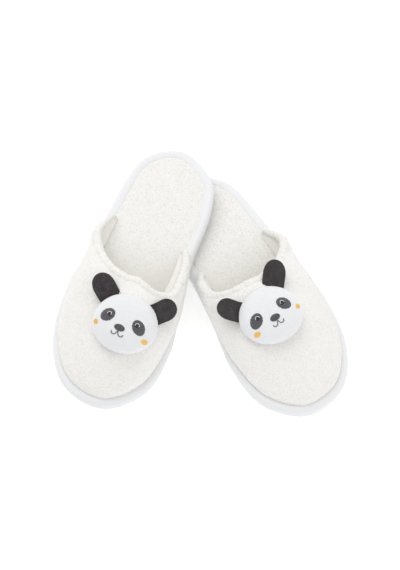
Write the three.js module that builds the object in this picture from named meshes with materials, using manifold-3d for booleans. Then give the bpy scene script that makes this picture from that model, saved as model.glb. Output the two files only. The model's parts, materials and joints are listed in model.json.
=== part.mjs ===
// A pair of closed-toe spa slippers in terry cloth, each with a stuffed animal head on its instep.
// Millimetres, +Z up, toes towards -Y. Each slipper is drawn in its own frame, with +x towards the
// outer side of the foot and +y towards the heel. The wearer's right slipper is the mirror of the left.
import * as THREE from 'three';
import { mergeVertices } from 'three/addons/utils/BufferGeometryUtils.js';
import Module from 'manifold-3d';

const wasm = await Module();
wasm.setup();

// ---------------------------------------------------------------- driving sizes
const clearance = 0.3;

const sole = { length: 250, width: 97, rimPoints: 56 };
const outsole = { thickness: 2.8, skive: 1.1 };
const midsole = { thickness: 2.4 };
const insole = { rimThickness: 1.6, crown: 1.7, crownInset: 22 };
const tape = { thickness: 1.0, cover: 7.2, underCover: 6.6, puff: 0.6 };
const flex = { medialY: 30, lateralY: 53, cutGap: 0.4 };

const upper = { thickness: 2.0, lining: 0.8, instepHeight: 47, medialTipY: 22, lateralTipY: 44, footGap: 1.7 };
const hem = { radius: 3.4, tipRadius: 2.0, taper: 0.14, seatGap: 1.5 };

const head = { radius: 25.8, rise: 0.91, height: 12, plush: 1.5, back: 1.2, squareness: 2.4, turn: 8 };
const seatCurve = { across: 95, along: 260 };
const ear = { width: 16.5, rootWidth: 13.5, length: 19, thickness: 1.6, lift: 3.6 };
const patch = { thickness: 0.6 };

// The two don't match exactly, as hand-sewn slippers don't. throatY is the throat's place along the sole, and
// innerDip is how much further forward its inner corner is cut. headAcross is the head's share of the way over
// the instep from its inner side, and headBehind how far it lies behind the throat. The ears spread by their
// own angles, in degrees from the top of the head. place is a share of the sole's width and length, so a
// longer or wider pair still crosses at its heels.
const left = {
  side: 'left', mirror: 1, throatY: -23, innerDip: 0, headAcross: 0.513, headBehind: 31,
  earSpread: { outer: 42, inner: 47 },
  yaw: 22.0, place: [0.3443 * sole.width, -0.0416 * sole.length],
};
const right = {
  side: 'right', mirror: -1, throatY: -35, innerDip: 8, headAcross: 0.495, headBehind: 34.5,
  earSpread: { outer: 54, inner: 46 },
  yaw: -13.4, place: [-0.4392 * sole.width, 0.0072 * sole.length],
};
// The right slipper's heel lies on the left one's, so it is pitched up about a line across its toe.
const toePivotInset = 4;
const heelGap = clearance;

const colours = {
  outsole: 0xe9e9e6, midsole: 0xf3f2ee, terry: 0xefece4, tape: 0xf0f1f3, lining: 0xdcd0bd,
  plush: 0xf1f2f6, stuffing: 0xfafafa, felt: 0x37353a, embroidery: 0x5c5c63, cheek: 0xf0b65c,
};
const roughness = 0.95;

// ---------------------------------------------------------------- heights worked out from the sizes
const rimWall = tape.thickness + clearance;
const midsoleZ = outsole.thickness + clearance;
const insoleZ = midsoleZ + midsole.thickness + clearance;
const insoleRimZ = insoleZ + insole.rimThickness;
const tapeTopZ = insoleRimZ + clearance + tape.thickness + tape.puff;
const tapeSeatZ = insoleRimZ + clearance;
const upperInset = tape.cover + upper.footGap;
const upperFootZ = insoleRimZ + clearance;
const instepRise = upper.instepHeight - upperFootZ;

// ---------------------------------------------------------------- small helpers
const v3 = (x, y, z) => new THREE.Vector3(x, y, z);
const lerp = THREE.MathUtils.lerp;
const rad = THREE.MathUtils.degToRad;

// Turns a closed triangle list so that its faces look outwards.
function outward(points, triangles) {
  let volume = 0;
  for (const [a, b, c] of triangles) {
    volume += points[a].dot(points[b].clone().cross(points[c]));
  }
  const facing = volume < 0 ? triangles.map(([a, b, c]) => [a, c, b]) : triangles;
  const geometry = new THREE.BufferGeometry();
  geometry.setAttribute('position', new THREE.Float32BufferAttribute(points.flatMap((p) => [p.x, p.y, p.z]), 3));
  geometry.setIndex(facing.flat());
  return geometry;
}

// Joins rings of points that all have the same count. The two ends are capped, unless the rings close on themselves.
function loft(rings, closed = false) {
  const count = rings[0].length;
  const points = rings.flat().map((p) => p.clone());
  const triangles = [];
  const spans = closed ? rings.length : rings.length - 1;
  for (let r = 0; r < spans; r += 1) {
    const near = r * count;
    const far = ((r + 1) % rings.length) * count;
    for (let i = 0; i < count; i += 1) {
      const j = (i + 1) % count;
      triangles.push([near + i, near + j, far + i], [near + j, far + j, far + i]);
    }
  }
  if (!closed) {
    for (const [ring, turned] of [[0, true], [rings.length - 1, false]]) {
      const middle = rings[ring].reduce((sum, p) => sum.add(p), v3(0, 0, 0)).divideScalar(count);
      points.push(middle);
      for (let i = 0; i < count; i += 1) {
        const a = ring * count + i;
        const b = ring * count + ((i + 1) % count);
        triangles.push(turned ? [points.length - 1, b, a] : [points.length - 1, a, b]);
      }
    }
  }
  return outward(points, triangles);
}

// A curved sheet of even thickness: grid[u][v] holds {point, normal}, and the sheet lies between two depths.
function sheet(grid, nearDepth, farDepth) {
  const across = grid[0].length;
  const rings = grid.map((row) => {
    const near = row.map(({ point, normal }) => point.clone().addScaledVector(normal, -nearDepth));
    const far = row.map(({ point, normal }) => point.clone().addScaledVector(normal, -farDepth));
    return near.concat(far.reverse());
  });
  const count = across * 2;
  const points = rings.flat();
  const triangles = [];
  // Both faces of the sheet split each square on the same diagonal, so that nested sheets stay apart.
  for (let r = 0; r < rings.length - 1; r += 1) {
    for (let i = 0; i < count; i += 1) {
      const j = (i + 1) % count;
      const [a, b, c, d] = [r * count + i, r * count + j, (r + 1) * count + i, (r + 1) * count + j];
      triangles.push(...(i < across ? [[a, b, c], [b, d, c]] : [[a, b, d], [a, d, c]]));
    }
  }
  for (const [ring, turned] of [[0, true], [rings.length - 1, false]]) {
    for (let v = 0; v < across - 1; v += 1) {
      const a = ring * count + v;
      const b = a + 1;
      const c = ring * count + count - 2 - v;
      const d = c + 1;
      triangles.push(turned ? [a, d, b] : [a, b, d], turned ? [b, d, c] : [b, c, d]);
    }
  }
  return outward(points, triangles);
}

function toSolid(geometry) {
  const merged = mergeVertices(geometry.clone(), 1e-5);
  return new wasm.Manifold(new wasm.Mesh({
    numProp: 3,
    vertProperties: new Float32Array(merged.attributes.position.array),
    triVerts: new Uint32Array(merged.index.array),
  }));
}

// Keeps the part of a closed geometry on the side that the plane's normal points to.
function keepSide(geometry, normal, offset) {
  const mesh = toSolid(geometry).trimByPlane([normal.x, normal.y, normal.z], offset).getMesh();
  const kept = new THREE.BufferGeometry();
  kept.setAttribute('position', new THREE.BufferAttribute(new Float32Array(mesh.vertProperties), 3));
  kept.setIndex(new THREE.BufferAttribute(new Uint32Array(mesh.triVerts), 1));
  return kept;
}

// ---------------------------------------------------------------- the sole's outline
// Points round the sole from the toe's tip by the outer side to the heel and back by the inner side,
// as shares of the sole's width and length.
const outlineShape = [
  [0.03, -0.5], [0.39, -0.45], [0.59, -0.3], [0.615, -0.1], [0.53, 0.06], [0.47, 0.235], [0.34, 0.435],
  [0.015, 0.5], [-0.3, 0.41], [-0.38, 0.275], [-0.345, 0.075], [-0.35, -0.1], [-0.37, -0.26], [-0.273, -0.415],
];
const outlineCurve = new THREE.CatmullRomCurve3(
  outlineShape.map(([x, y]) => v3(x * sole.width, y * sole.length, 0)), true, 'catmullrom', 0.5,
);

// The outline moved in by a distance, at a height. Each point moves square to the curve.
function rim(inset, z, count = sole.rimPoints) {
  const ring = [];
  for (let i = 0; i < count; i += 1) {
    const point = outlineCurve.getPointAt(i / count);
    const along = outlineCurve.getTangentAt(i / count);
    ring.push(v3(point.x - along.y * inset, point.y + along.x * inset, z));
  }
  return ring;
}

// ---------------------------------------------------------------- the sole
const outsoleBody = () => loft([
  rim(tape.underCover + 2 * clearance, 0),
  rim(tape.underCover + clearance, outsole.skive),
  rim(rimWall, outsole.skive),
  rim(rimWall, outsole.thickness),
]);

const midsoleBody = () => loft([
  rim(rimWall, midsoleZ),
  rim(rimWall, midsoleZ + midsole.thickness),
]);

const insoleBody = () => loft([
  rim(rimWall, insoleZ),
  rim(rimWall + 0.4, insoleRimZ),
  rim(upperInset + upper.thickness, insoleRimZ),
  rim(insole.crownInset * 0.72, insoleRimZ + insole.crown * 0.75),
  rim(insole.crownInset, insoleRimZ + insole.crown),
]);

// The bound edge: a folded tape round the rim, as a C-shaped section that runs round the whole sole.
function tapeBody() {
  const t = tape.thickness;
  const middleZ = tapeTopZ / 2;
  const section = [
    [tape.cover, tapeSeatZ], [tape.cover, tapeSeatZ + t], [tape.cover * 0.55, tapeTopZ],
    [t * 1.6, tapeTopZ - 0.9], [0.2, middleZ + 1.8], [0.2, middleZ - 1.8], [t * 1.6, 0.45],
    [t * 3.2, 0], [tape.underCover, 0], [tape.underCover, outsole.skive - clearance],
    [t, outsole.skive - clearance], [t, tapeSeatZ],
  ];
  return loft(section.map(([inset, z]) => rim(inset, z)), true);
}

// ---------------------------------------------------------------- how the two slippers lie
const onFloor = (slipper, point) => {
  const turned = v3(point.x * slipper.mirror, point.y, 0).applyAxisAngle(v3(0, 0, 1), rad(slipper.yaw));
  return turned.add(v3(...slipper.place, 0));
};
const offFloor = (slipper, point) => {
  const turned = point.clone().sub(v3(...slipper.place, 0)).applyAxisAngle(v3(0, 0, 1), -rad(slipper.yaw));
  return v3(turned.x * slipper.mirror, turned.y, 0);
};

// Whether a point lies inside a closed outline: a ray from it crosses the outline an odd number of times.
function inside(outline, { x, y }) {
  let odd = false;
  outline.forEach((a, i) => {
    const b = outline[(i + 1) % outline.length];
    if ((a.y > y) !== (b.y > y) && x < a.x + ((b.x - a.x) * (y - a.y)) / (b.y - a.y)) {
      odd = !odd;
    }
  });
  return odd;
}

// How far back along the right sole its flat underside first lies over the left one's flat rim.
function firstCrossing() {
  const outline = rim(3 * tape.thickness, 0, 360);
  const rightOverLeft = outline.filter((p) => inside(outline, offFloor(left, onFloor(right, p))));
  const leftUnderRight = outline.map((p) => offFloor(right, onFloor(left, p))).filter((p) => inside(outline, p));
  return Math.min(...rightOverLeft.concat(leftUnderRight).map((p) => p.y));
}

const toePivotY = -sole.length / 2 + toePivotInset;
const rightPitch = Math.asin((tapeTopZ + heelGap) / (firstCrossing() - toePivotY));

// ---------------------------------------------------------------- the bend
// The sole bends on a line just behind the upper. Every layer is cut there into a front and a heel piece.
const flexA = v3(-0.38 * sole.width, flex.medialY, 0);
const flexB = v3(0.47 * sole.width, flex.lateralY, 0);
const flexNormal = v3(flexA.y - flexB.y, flexB.x - flexA.x, 0).normalize();
const flexOffset = flexNormal.dot(flexA);
const flexZ = Math.max(tapeTopZ, insoleRimZ + insole.crown) + 0.05;

const frontOf = (body) => keepSide(body, flexNormal.clone().negate(), -(flexOffset - flex.cutGap / 2));
const heelOf = (body) => keepSide(body, flexNormal, flexOffset + flex.cutGap / 2);

// ---------------------------------------------------------------- the upper
// Nine stations run round the foot opening, from the inner wing's tip over the instep to the outer wing's tip.
// across: share of the sole's width. back: share of the way from the throat to the wing's tip. dip: share of
// the slipper's own innerDip. rise: share of the instep's height. low: how far the cloth leaves its seam,
// outwards and up. high: how the cloth leaves the opening's edge, outwards, forward and down.
const stations = [
  { across: -0.285, back: 1.00, rise: 0.15, low: [0.3, 1.0], high: [0, 0, 1.2] },
  { across: -0.340, back: 0.62, rise: 0.42, low: [12, 9], high: [-4, 5, 7] },
  { across: -0.325, back: 0.16, dip: 1.0, rise: 0.70, low: [16, 14], high: [-10, 13, 2] },
  { across: -0.190, back: -0.01, dip: 0.6, rise: 0.90, low: [9, 15], high: [-8, 27, 1] },
  { across: -0.040, back: 0.00, rise: 1.00, low: [6, 14], high: [0, 36, 2] },
  { across: 0.105, back: 0.05, rise: 0.94, low: [7, 15], high: [8, 27, 1] },
  { across: 0.300, back: 0.24, rise: 0.79, low: [9, 16], high: [13, 15, 1] },
  { across: 0.470, back: 0.62, rise: 0.50, low: [5, 9], high: [4, 5, 8] },
  { across: 0.425, back: 1.00, rise: 0.15, low: [0.3, 1.0], high: [0, 0, 1.2] },
];
const alongStations = (values) => new THREE.CatmullRomCurve3(values, false, 'catmullrom', 0.5);

// The stretch of the inset outline that the upper is sewn to, as a function of 0..1 from tip to tip.
function seamLine() {
  const dense = rim(upperInset, upperFootZ, 360);
  const toe = dense.reduce((best, p, i) => (p.y < dense[best].y ? i : best), 0);
  const walk = (step, tipY) => {
    const path = [dense[toe]];
    for (let i = toe + step; path[path.length - 1].y < tipY; i += step) {
      path.push(dense[(i + dense.length) % dense.length]);
    }
    return new THREE.CatmullRomCurve3(path, false, 'catmullrom', 0.5);
  };
  const outer = walk(1, upper.lateralTipY);
  const inner = walk(-1, upper.medialTipY);
  return (u) => {
    const [curve, share] = u < 0.5 ? [inner, 1 - 2 * u] : [outer, 2 * u - 1];
    const along = curve.getTangentAt(share).multiplyScalar(u < 0.5 ? -1 : 1);
    return { point: curve.getPointAt(share), out: v3(along.y, -along.x, 0) };
  };
}

function upperSurface({ throatY, innerDip }) {
  const seam = seamLine();
  const tipY = (i) => (i < 4 ? upper.medialTipY : upper.lateralTipY);
  const edge = alongStations(stations.map(({ across, back, dip = 0, rise }, i) => v3(
    across * sole.width, lerp(throatY, tipY(i), back) - dip * innerDip, upperFootZ + rise * instepRise,
  )));
  const low = alongStations(stations.map((s) => v3(s.low[0], s.low[1], 0)));
  const high = alongStations(stations.map((s) => v3(s.high[0], -s.high[1], -s.high[2])));
  const at = (u, v) => {
    const { point: foot, out } = seam(u);
    const spread = low.getPoint(u);
    const top = edge.getPoint(u);
    const footHandle = foot.clone().addScaledVector(out, spread.x).add(v3(0, 0, spread.y));
    return new THREE.CubicBezierCurve3(foot, footHandle, top.clone().add(high.getPoint(u)), top).getPoint(v);
  };
  const normal = (u, v) => {
    const step = 1e-3;
    const du = at(Math.min(u + step, 1), v).sub(at(Math.max(u - step, 0), v));
    const dv = at(u, Math.min(v + step, 1)).sub(at(u, Math.max(v - step, 0)));
    return du.cross(dv).normalize();
  };
  return { at, normal };
}

const hemRadius = (u) => lerp(hem.tipRadius, hem.radius, THREE.MathUtils.smoothstep(Math.min(u, 1 - u), 0, hem.taper));

const hemCentre = (surface, u) => surface.at(u, 1).addScaledVector(surface.normal(u, 1), -upper.thickness / 2);

// The cloth stops short of the rolled hem. This finds how far along its section that is.
function clothEnd(surface, u, hemLine) {
  const clear = (v) => {
    const outerFace = surface.at(u, v);
    const innerFace = outerFace.clone().addScaledVector(surface.normal(u, v), -upper.thickness);
    return hemLine.every(({ centre, radius }) => (
      Math.min(outerFace.distanceTo(centre), innerFace.distanceTo(centre)) > radius + hem.seatGap
    ));
  };
  let [low, high] = [0, 1];
  for (let i = 0; i < 20; i += 1) {
    const middle = (low + high) / 2;
    [low, high] = clear(middle) ? [middle, high] : [low, middle];
  }
  return low;
}

function upperGrid(surface, columns, rows) {
  const hemLine = Array.from({ length: 80 }, (_, i) => (
    { centre: hemCentre(surface, i / 79), radius: hemRadius(i / 79) }
  ));
  const grid = [];
  for (let c = 0; c <= columns; c += 1) {
    const u = c / columns;
    const end = clothEnd(surface, u, hemLine);
    const row = [];
    for (let r = 0; r <= rows; r += 1) {
      const v = (end * r) / rows;
      row.push({ point: surface.at(u, v), normal: surface.normal(u, v) });
    }
    grid.push(row);
  }
  return grid;
}

// The rolled edge of the foot opening, a soft round tube that thins towards both wing tips.
function hemBody(surface) {
  const columns = 24;
  const sides = 7;
  const rings = [];
  for (let c = 0; c <= columns; c += 1) {
    const u = c / columns;
    const ahead = hemCentre(surface, Math.min(u + 0.01, 1));
    const along = ahead.sub(hemCentre(surface, Math.max(u - 0.01, 0))).normalize();
    const out = surface.normal(u, 1);
    const side = out.clone().cross(along).normalize();
    const ring = [];
    for (let i = 0; i < sides; i += 1) {
      const turn = (2 * Math.PI * (i + 0.5)) / sides;
      const spoke = side.clone().multiplyScalar(Math.cos(turn)).addScaledVector(out, Math.sin(turn));
      ring.push(hemCentre(surface, u).addScaledVector(spoke, hemRadius(u)));
    }
    rings.push(ring);
  }
  return loft(rings);
}

// ---------------------------------------------------------------- the stuffed head
// The head's own frame: a to the wearer's outer side, b towards the top of the head, n out of the instep.
function headFrame(surface, { throatY, headAcross, headBehind }) {
  let [low, high] = [0, 1];
  for (let i = 0; i < 30; i += 1) {
    const middle = (low + high) / 2;
    [low, high] = surface.at(headAcross, middle).y < throatY - headBehind ? [middle, high] : [low, middle];
  }
  const n = surface.normal(headAcross, low);
  const seat = surface.at(headAcross, low);
  const heelward = surface.at(headAcross, Math.min(low + 0.05, 1)).sub(seat).normalize();
  const b = heelward.applyAxisAngle(n, rad(head.turn));
  const a = b.clone().cross(n).normalize();
  // The seat is raised until the whole of the head's back clears the cloth.
  let lift = 0;
  for (let i = 0; i <= 40; i += 1) {
    for (let j = 0; j <= 40; j += 1) {
      const offset = surface.at(i / 40, j / 40).sub(seat);
      const [x, y] = [offset.dot(a), offset.dot(b)];
      if (Math.hypot(x, y / head.rise) < head.radius) {
        lift = Math.max(lift, offset.dot(n) - sag(x, y));
      }
    }
  }
  seat.addScaledVector(n, lift + clearance);
  return { seat, a, b, n };
}

// The head's back is a shallow saddle that follows the instep.
const sag = (a, b) => -(a * a) / (2 * seatCurve.across) - (b * b) / (2 * seatCurve.along);
const place = (frame, a, b, h) => frame.seat.clone()
  .addScaledVector(frame.a, a).addScaledVector(frame.b, b).addScaledVector(frame.n, h);

// Height of the plush over the seat. The top of the head bends less than the instep below it.
function domeHeight(a, b, radius = head.radius, height = head.height) {
  const share = Math.min(Math.hypot(a, b / head.rise) / radius, 1);
  const bulge = height * (1 - share ** head.squareness) ** (1 / head.squareness);
  return { bulge, h: head.back + clearance + bulge + sag(a, b) * (1 - (0.75 * bulge) / height) };
}

// A ring of the head's outline, which is a little less tall than it is wide.
const oval = (radius, count, z) => Array.from({ length: count }, (_, i) => {
  const turn = (2 * Math.PI * i) / count;
  const [a, b] = [radius * Math.cos(turn), radius * head.rise * Math.sin(turn)];
  return [a, b, z(a, b)];
});

const headSides = 20;
const toRing = (frame, flat) => flat.map(([a, b, h]) => place(frame, a, b, h));

function backBody(frame) {
  const radius = head.radius - 2 * clearance;
  const level = (extra) => (a, b) => sag(a, b) + extra;
  const shares = [0.15, 0.55, 1];
  const under = shares.map((s) => toRing(frame, oval(radius * s, headSides, level(0))));
  const over = shares.map((s) => toRing(frame, oval(radius * s, headSides, level(head.back)))).reverse();
  return loft([...under, ...over]);
}

// Rings of a dome from its rim to near its top.
function domeRings(frame, radius, height) {
  const steps = 6;
  const rings = [];
  for (let i = 0; i < steps; i += 1) {
    const turn = (Math.PI / 2) * (i / (steps - 0.35));
    const r = radius * Math.cos(turn) ** (2 / head.squareness);
    const bulge = height * Math.sin(turn) ** (2 / head.squareness);
    const z = (a, b) => head.back + clearance + bulge + sag(a, b) * (1 - (0.75 * bulge) / height);
    rings.push(toRing(frame, oval(r, headSides, z)));
  }
  return rings;
}

const faceBody = (frame) => loft([
  ...domeRings(frame, head.radius - head.plush, head.height - head.plush).reverse(),
  ...domeRings(frame, head.radius, head.height),
]);

function stuffingBody(frame) {
  const radius = head.radius - head.plush - clearance;
  const level = (a, b) => sag(a, b) + head.back + clearance;
  const seat = [0.15, 0.55].map((s) => toRing(frame, oval(radius * s, headSides, level)));
  return loft([...seat, ...domeRings(frame, radius, head.height - head.plush - clearance)]);
}

// A flat felt tab that widens from its root to a round end. It leaves the head's rim and lies over the instep
// and the hem.
function earRoot(spread) {
  const turn = rad(90 - spread);
  const reach = (head.radius * head.rise) / Math.hypot(head.rise * Math.cos(turn), Math.sin(turn)) + clearance;
  return { turn, root: [reach * Math.cos(turn), reach * Math.sin(turn)] };
}

function earBody(frame, spread) {
  const { turn, root } = earRoot(spread);
  const steps = 9;
  const half = ear.width / 2;
  const rings = [];
  for (let i = 0; i <= steps; i += 1) {
    const s = Math.sin((Math.PI / 2) * (i / steps) * 0.985) * ear.length;
    const past = Math.max(0, s - (ear.length - half));
    const widening = lerp(ear.rootWidth / ear.width, 1, Math.min(s / (ear.length - half), 1));
    const w = Math.sqrt(Math.max(half * half - past * past, 0.8)) * widening;
    const [a, b] = [root[0] + s * Math.cos(turn), root[1] + s * Math.sin(turn)];
    const lift = sag(root[0], root[1]) + 0.35 + ear.lift * Math.sin((Math.PI / 2) * (s / ear.length));
    const side = (k, h) => place(frame, a - k * w * Math.sin(turn), b + k * w * Math.cos(turn), lift + h);
    const under = [-1, 0, 1].map((k) => side(k, 0));
    const over = [1, 0, -1].map((k) => side(k, ear.thickness));
    rings.push([...under, ...over]);
  }
  return loft(rings);
}

// An embroidered spot: an ellipse that lies on the plush.
function spotBody(frame, { at, size, turn = 0, over = 0 }) {
  const sides = 12;
  const [ca, cb] = at;
  const lift = clearance + over;
  const level = (share, extra) => Array.from({ length: sides }, (_, i) => {
    const t = (2 * Math.PI * i) / sides;
    const [x, y] = [size[0] * share * Math.cos(t), size[1] * share * Math.sin(t)];
    const a = ca + x * Math.cos(turn) - y * Math.sin(turn);
    const b = cb + x * Math.sin(turn) + y * Math.cos(turn);
    return place(frame, a, b, domeHeight(a, b).h + lift + extra);
  });
  const inside = size[0] > 3 ? [0.5] : [];
  return loft([
    ...inside.map((share) => level(share, 0)), level(1, 0),
    level(0.9, patch.thickness), ...inside.map((share) => level(share, patch.thickness)),
  ]);
}

// The mouth: one raised cord of thread that dips on each side of the middle.
function mouthBody(frame) {
  const thread = 0.55;
  const path = [[-5.2, -9.6], [-4.2, -11.6], [-1.6, -11.4], [0, -8.4], [1.6, -11.4], [4.2, -11.6], [5.2, -9.6]];
  const curve = new THREE.CatmullRomCurve3(path.map(([a, b]) => v3(a, b, 0)), false, 'catmullrom', 0.5);
  const steps = 16;
  const rings = [];
  for (let i = 0; i <= steps; i += 1) {
    const p = curve.getPoint(i / steps);
    const along = curve.getTangent(i / steps);
    const ring = [];
    for (const [x, h] of [[-1, 0], [1, 0], [0.7, 0.8], [-0.7, 0.8]]) {
      const [a, b] = [p.x - along.y * x * thread, p.y + along.x * x * thread];
      ring.push(place(frame, a, b, domeHeight(a, b).h + clearance + h * thread));
    }
    rings.push(ring);
  }
  return loft(rings);
}

const eyeTilt = rad(45);
const faceSpots = {
  eye_patch_outer: { at: [13.2, 1.0], size: [6.7, 5.1], turn: -eyeTilt, colour: 'embroidery' },
  eye_patch_inner: { at: [-13.2, 1.0], size: [6.7, 5.1], turn: eyeTilt, colour: 'embroidery' },
  pupil_outer: { at: [11.6, 2.2], size: [2.1, 2.1], over: patch.thickness + clearance, colour: 'embroidery' },
  pupil_inner: { at: [-11.6, 2.2], size: [2.1, 2.1], over: patch.thickness + clearance, colour: 'embroidery' },
  nose: { at: [0, -4.9], size: [4.3, 2.9], colour: 'embroidery' },
  cheek_outer: { at: [20.5, -8.4], size: [2.4, 2.1], over: 0.3, colour: 'cheek' },
  cheek_inner: { at: [-20.5, -8.4], size: [2.4, 2.1], over: 0.3, colour: 'cheek' },
};

// ---------------------------------------------------------------- one slipper
function makeSlipper(slipper, pitch) {
  const { side, mirror, earSpread, yaw, place: [x, y] } = slipper;
  const surface = upperSurface(slipper);
  const frame = headFrame(surface, slipper);
  const cloth = upperGrid(surface, 22, 7);
  const bodies = {
    upper: [sheet(cloth, 0, upper.thickness), 'terry'],
    upper_lining: [sheet(cloth, upper.thickness + clearance, upper.thickness + clearance + upper.lining), 'lining'],
    throat_hem: [hemBody(surface), 'terry'],
    head_back: [backBody(frame), 'plush'],
    head_face: [faceBody(frame), 'plush'],
    head_stuffing: [stuffingBody(frame), 'stuffing'],
    ear_outer: [earBody(frame, earSpread.outer), 'felt'],
    ear_inner: [earBody(frame, -earSpread.inner), 'felt'],
    mouth: [mouthBody(frame), 'embroidery'],
  };
  for (const [name, body, colour] of [
    ['outsole', outsoleBody(), 'outsole'], ['midsole', midsoleBody(), 'midsole'],
    ['insole', insoleBody(), 'terry'], ['edge_tape', tapeBody(), 'tape'],
  ]) {
    bodies[`${name}_front`] = [frontOf(body), colour];
    bodies[`${name}_heel`] = [heelOf(body), colour];
  }
  for (const [name, spot] of Object.entries(faceSpots)) {
    bodies[name] = [spotBody(frame, spot), spot.colour];
  }

  const shape = new THREE.Group();
  for (const [name, [geometry, colour]] of Object.entries(bodies)) {
    const turned = mirror < 0 ? mirrored(geometry) : geometry;
    const mesh = new THREE.Mesh(turned, new THREE.MeshStandardMaterial({ color: colours[colour], roughness }));
    mesh.name = `${side}_${name}`;
    shape.add(mesh);
  }
  // The tilt is about a line across the toe, so the tilted slipper still stands on its toe end.
  shape.position.set(0, -toePivotY, 0);
  const tilted = new THREE.Group();
  tilted.add(shape);
  tilted.rotation.x = pitch;
  tilted.position.set(0, toePivotY, 0);
  const placed = new THREE.Group();
  placed.add(tilted);
  placed.rotation.z = rad(yaw);
  placed.position.set(x, y, 0);
  return placed;
}

// A copy of a closed geometry, mirrored across x = 0.
function mirrored(geometry) {
  const copy = geometry.clone();
  copy.scale(-1, 1, 1);
  const index = Array.from(copy.index.array);
  for (let i = 0; i < index.length; i += 3) {
    [index[i + 1], index[i + 2]] = [index[i + 2], index[i + 1]];
  }
  copy.setIndex(index);
  return copy;
}

// ---------------------------------------------------------------- the pair
// Both stand on z = 0, and the pair's box is centred over the origin.
const leftSlipper = makeSlipper(left, 0);
const rightSlipper = makeSlipper(right, rightPitch);
rightSlipper.updateMatrixWorld(true);
rightSlipper.position.z = -new THREE.Box3().setFromObject(rightSlipper, true).min.z;
const pair = new THREE.Group();
pair.add(leftSlipper, rightSlipper);
pair.updateMatrixWorld(true);
const middle = new THREE.Box3().setFromObject(pair, true).getCenter(v3(0, 0, 0));
pair.position.set(-middle.x, -middle.y, 0);
const group = new THREE.Group();
group.add(pair);

export default group;
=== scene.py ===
# %% [markdown]
# # A pair of terry spa slippers
# The real pair is sewn from soft goods: a foam sole bound with folded tape, a looped terry insole and
# upper, a thick rolled edge round the foot opening, and a stuffed plush head with felt ears and an
# embroidered face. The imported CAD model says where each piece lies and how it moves. This file gives
# each piece its cloth: every cell makes one of them, in the order in which a workshop would.

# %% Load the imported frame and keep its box
import json
import math

import bmesh
import bpy
import numpy as np
from mathutils import Matrix, Vector, noise
from mathutils.bvhtree import BVHTree


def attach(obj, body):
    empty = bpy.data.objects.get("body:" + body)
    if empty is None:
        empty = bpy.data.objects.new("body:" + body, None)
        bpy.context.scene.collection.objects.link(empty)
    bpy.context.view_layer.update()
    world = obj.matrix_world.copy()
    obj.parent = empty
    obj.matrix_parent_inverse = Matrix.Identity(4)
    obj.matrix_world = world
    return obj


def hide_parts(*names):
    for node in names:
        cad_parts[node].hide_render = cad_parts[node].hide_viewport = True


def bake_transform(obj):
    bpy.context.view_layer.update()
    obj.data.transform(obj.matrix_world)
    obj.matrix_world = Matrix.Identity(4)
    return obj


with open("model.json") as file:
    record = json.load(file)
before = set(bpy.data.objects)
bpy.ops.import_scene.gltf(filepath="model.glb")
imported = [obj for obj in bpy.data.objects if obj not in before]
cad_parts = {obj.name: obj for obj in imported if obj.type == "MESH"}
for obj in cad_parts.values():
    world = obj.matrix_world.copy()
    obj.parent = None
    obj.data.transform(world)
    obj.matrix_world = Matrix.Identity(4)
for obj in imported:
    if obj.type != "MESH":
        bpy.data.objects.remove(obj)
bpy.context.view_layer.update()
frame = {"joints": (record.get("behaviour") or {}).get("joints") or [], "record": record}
record = frame["record"]
joints = {joint["name"]: joint for joint in frame["joints"]}
mounts = {mount["name"]: mount for mount in record["mounts"]}

# %% [markdown]
# The camera looks down on the toes, as someone holding a tray of slippers would. It is a long lens from
# 1.2 metres, so the two slippers are drawn with little perspective. The view transform is Standard,
# because a white product on a white table has to reach full white without being greyed.

# %% Camera
CAMERA_TARGET = Vector((0.00006, 0.0007, 0.0))
CAMERA_DISTANCE = 1.2
CAMERA_ELEVATION = math.radians(54)
CAMERA_LENS, SENSOR_WIDTH, CLIP_END = 93.16, 36, 50


def new_object(name, data):
    made = bpy.data.objects.new(name, data)
    bpy.context.scene.collection.objects.link(made)
    return made


camera_data = bpy.data.cameras.new("camera")
camera_data.lens = CAMERA_LENS
camera_data.sensor_width = SENSOR_WIDTH
camera_data.clip_end = CLIP_END
camera = new_object("camera", camera_data)
camera.location = CAMERA_TARGET + CAMERA_DISTANCE * Vector(
    (0, -math.cos(CAMERA_ELEVATION), math.sin(CAMERA_ELEVATION))
)
camera.rotation_euler = (CAMERA_TARGET - camera.location).to_track_quat("-Z", "Y").to_euler()
bpy.context.scene.camera = camera
bpy.context.scene.view_settings.view_transform = "Standard"

# %% [markdown]
# White goods on white need light from everywhere. A bright even surround fills the shadows, and one
# large soft lamp behind the heels and to the left gives the terry its grain. The floor glows a little of
# its own, which keeps the contact shadows as faint as on a light table.

# %% Light and floor
SKY_STRENGTH = 0.72
LAMPS = (
    # name, size, power, place
    ("key", 1.5, 9.0, (-0.45, 0.75, 1.15)),
    ("front_fill", 1.2, 3.4, (0.75, -0.7, 0.9)),
)
FLOOR_REACH, FLOOR_GREY, FLOOR_ROUGHNESS, FLOOR_GLOW = 3, 0.8, 0.9, 0.42


def new_material(name):
    material = bpy.data.materials.new(name)
    material.use_nodes = True
    shader = material.node_tree.nodes["Principled BSDF"]
    return material, material.node_tree, shader


def soft_lamp(name, size, power, location):
    data = bpy.data.lights.new(name, "AREA")
    data.shape = "DISK"
    data.size = size
    data.energy = power
    lamp = new_object(name, data)
    lamp.location = location
    lamp.rotation_euler = (-Vector(location)).to_track_quat("-Z", "Y").to_euler()


world = bpy.data.worlds.new("studio")
world.use_nodes = True
world.node_tree.nodes["Background"].inputs["Color"].default_value = (1.0, 1.0, 1.0, 1)
world.node_tree.nodes["Background"].inputs["Strength"].default_value = SKY_STRENGTH
bpy.context.scene.world = world

for lamp in LAMPS:
    soft_lamp(*lamp)

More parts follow.
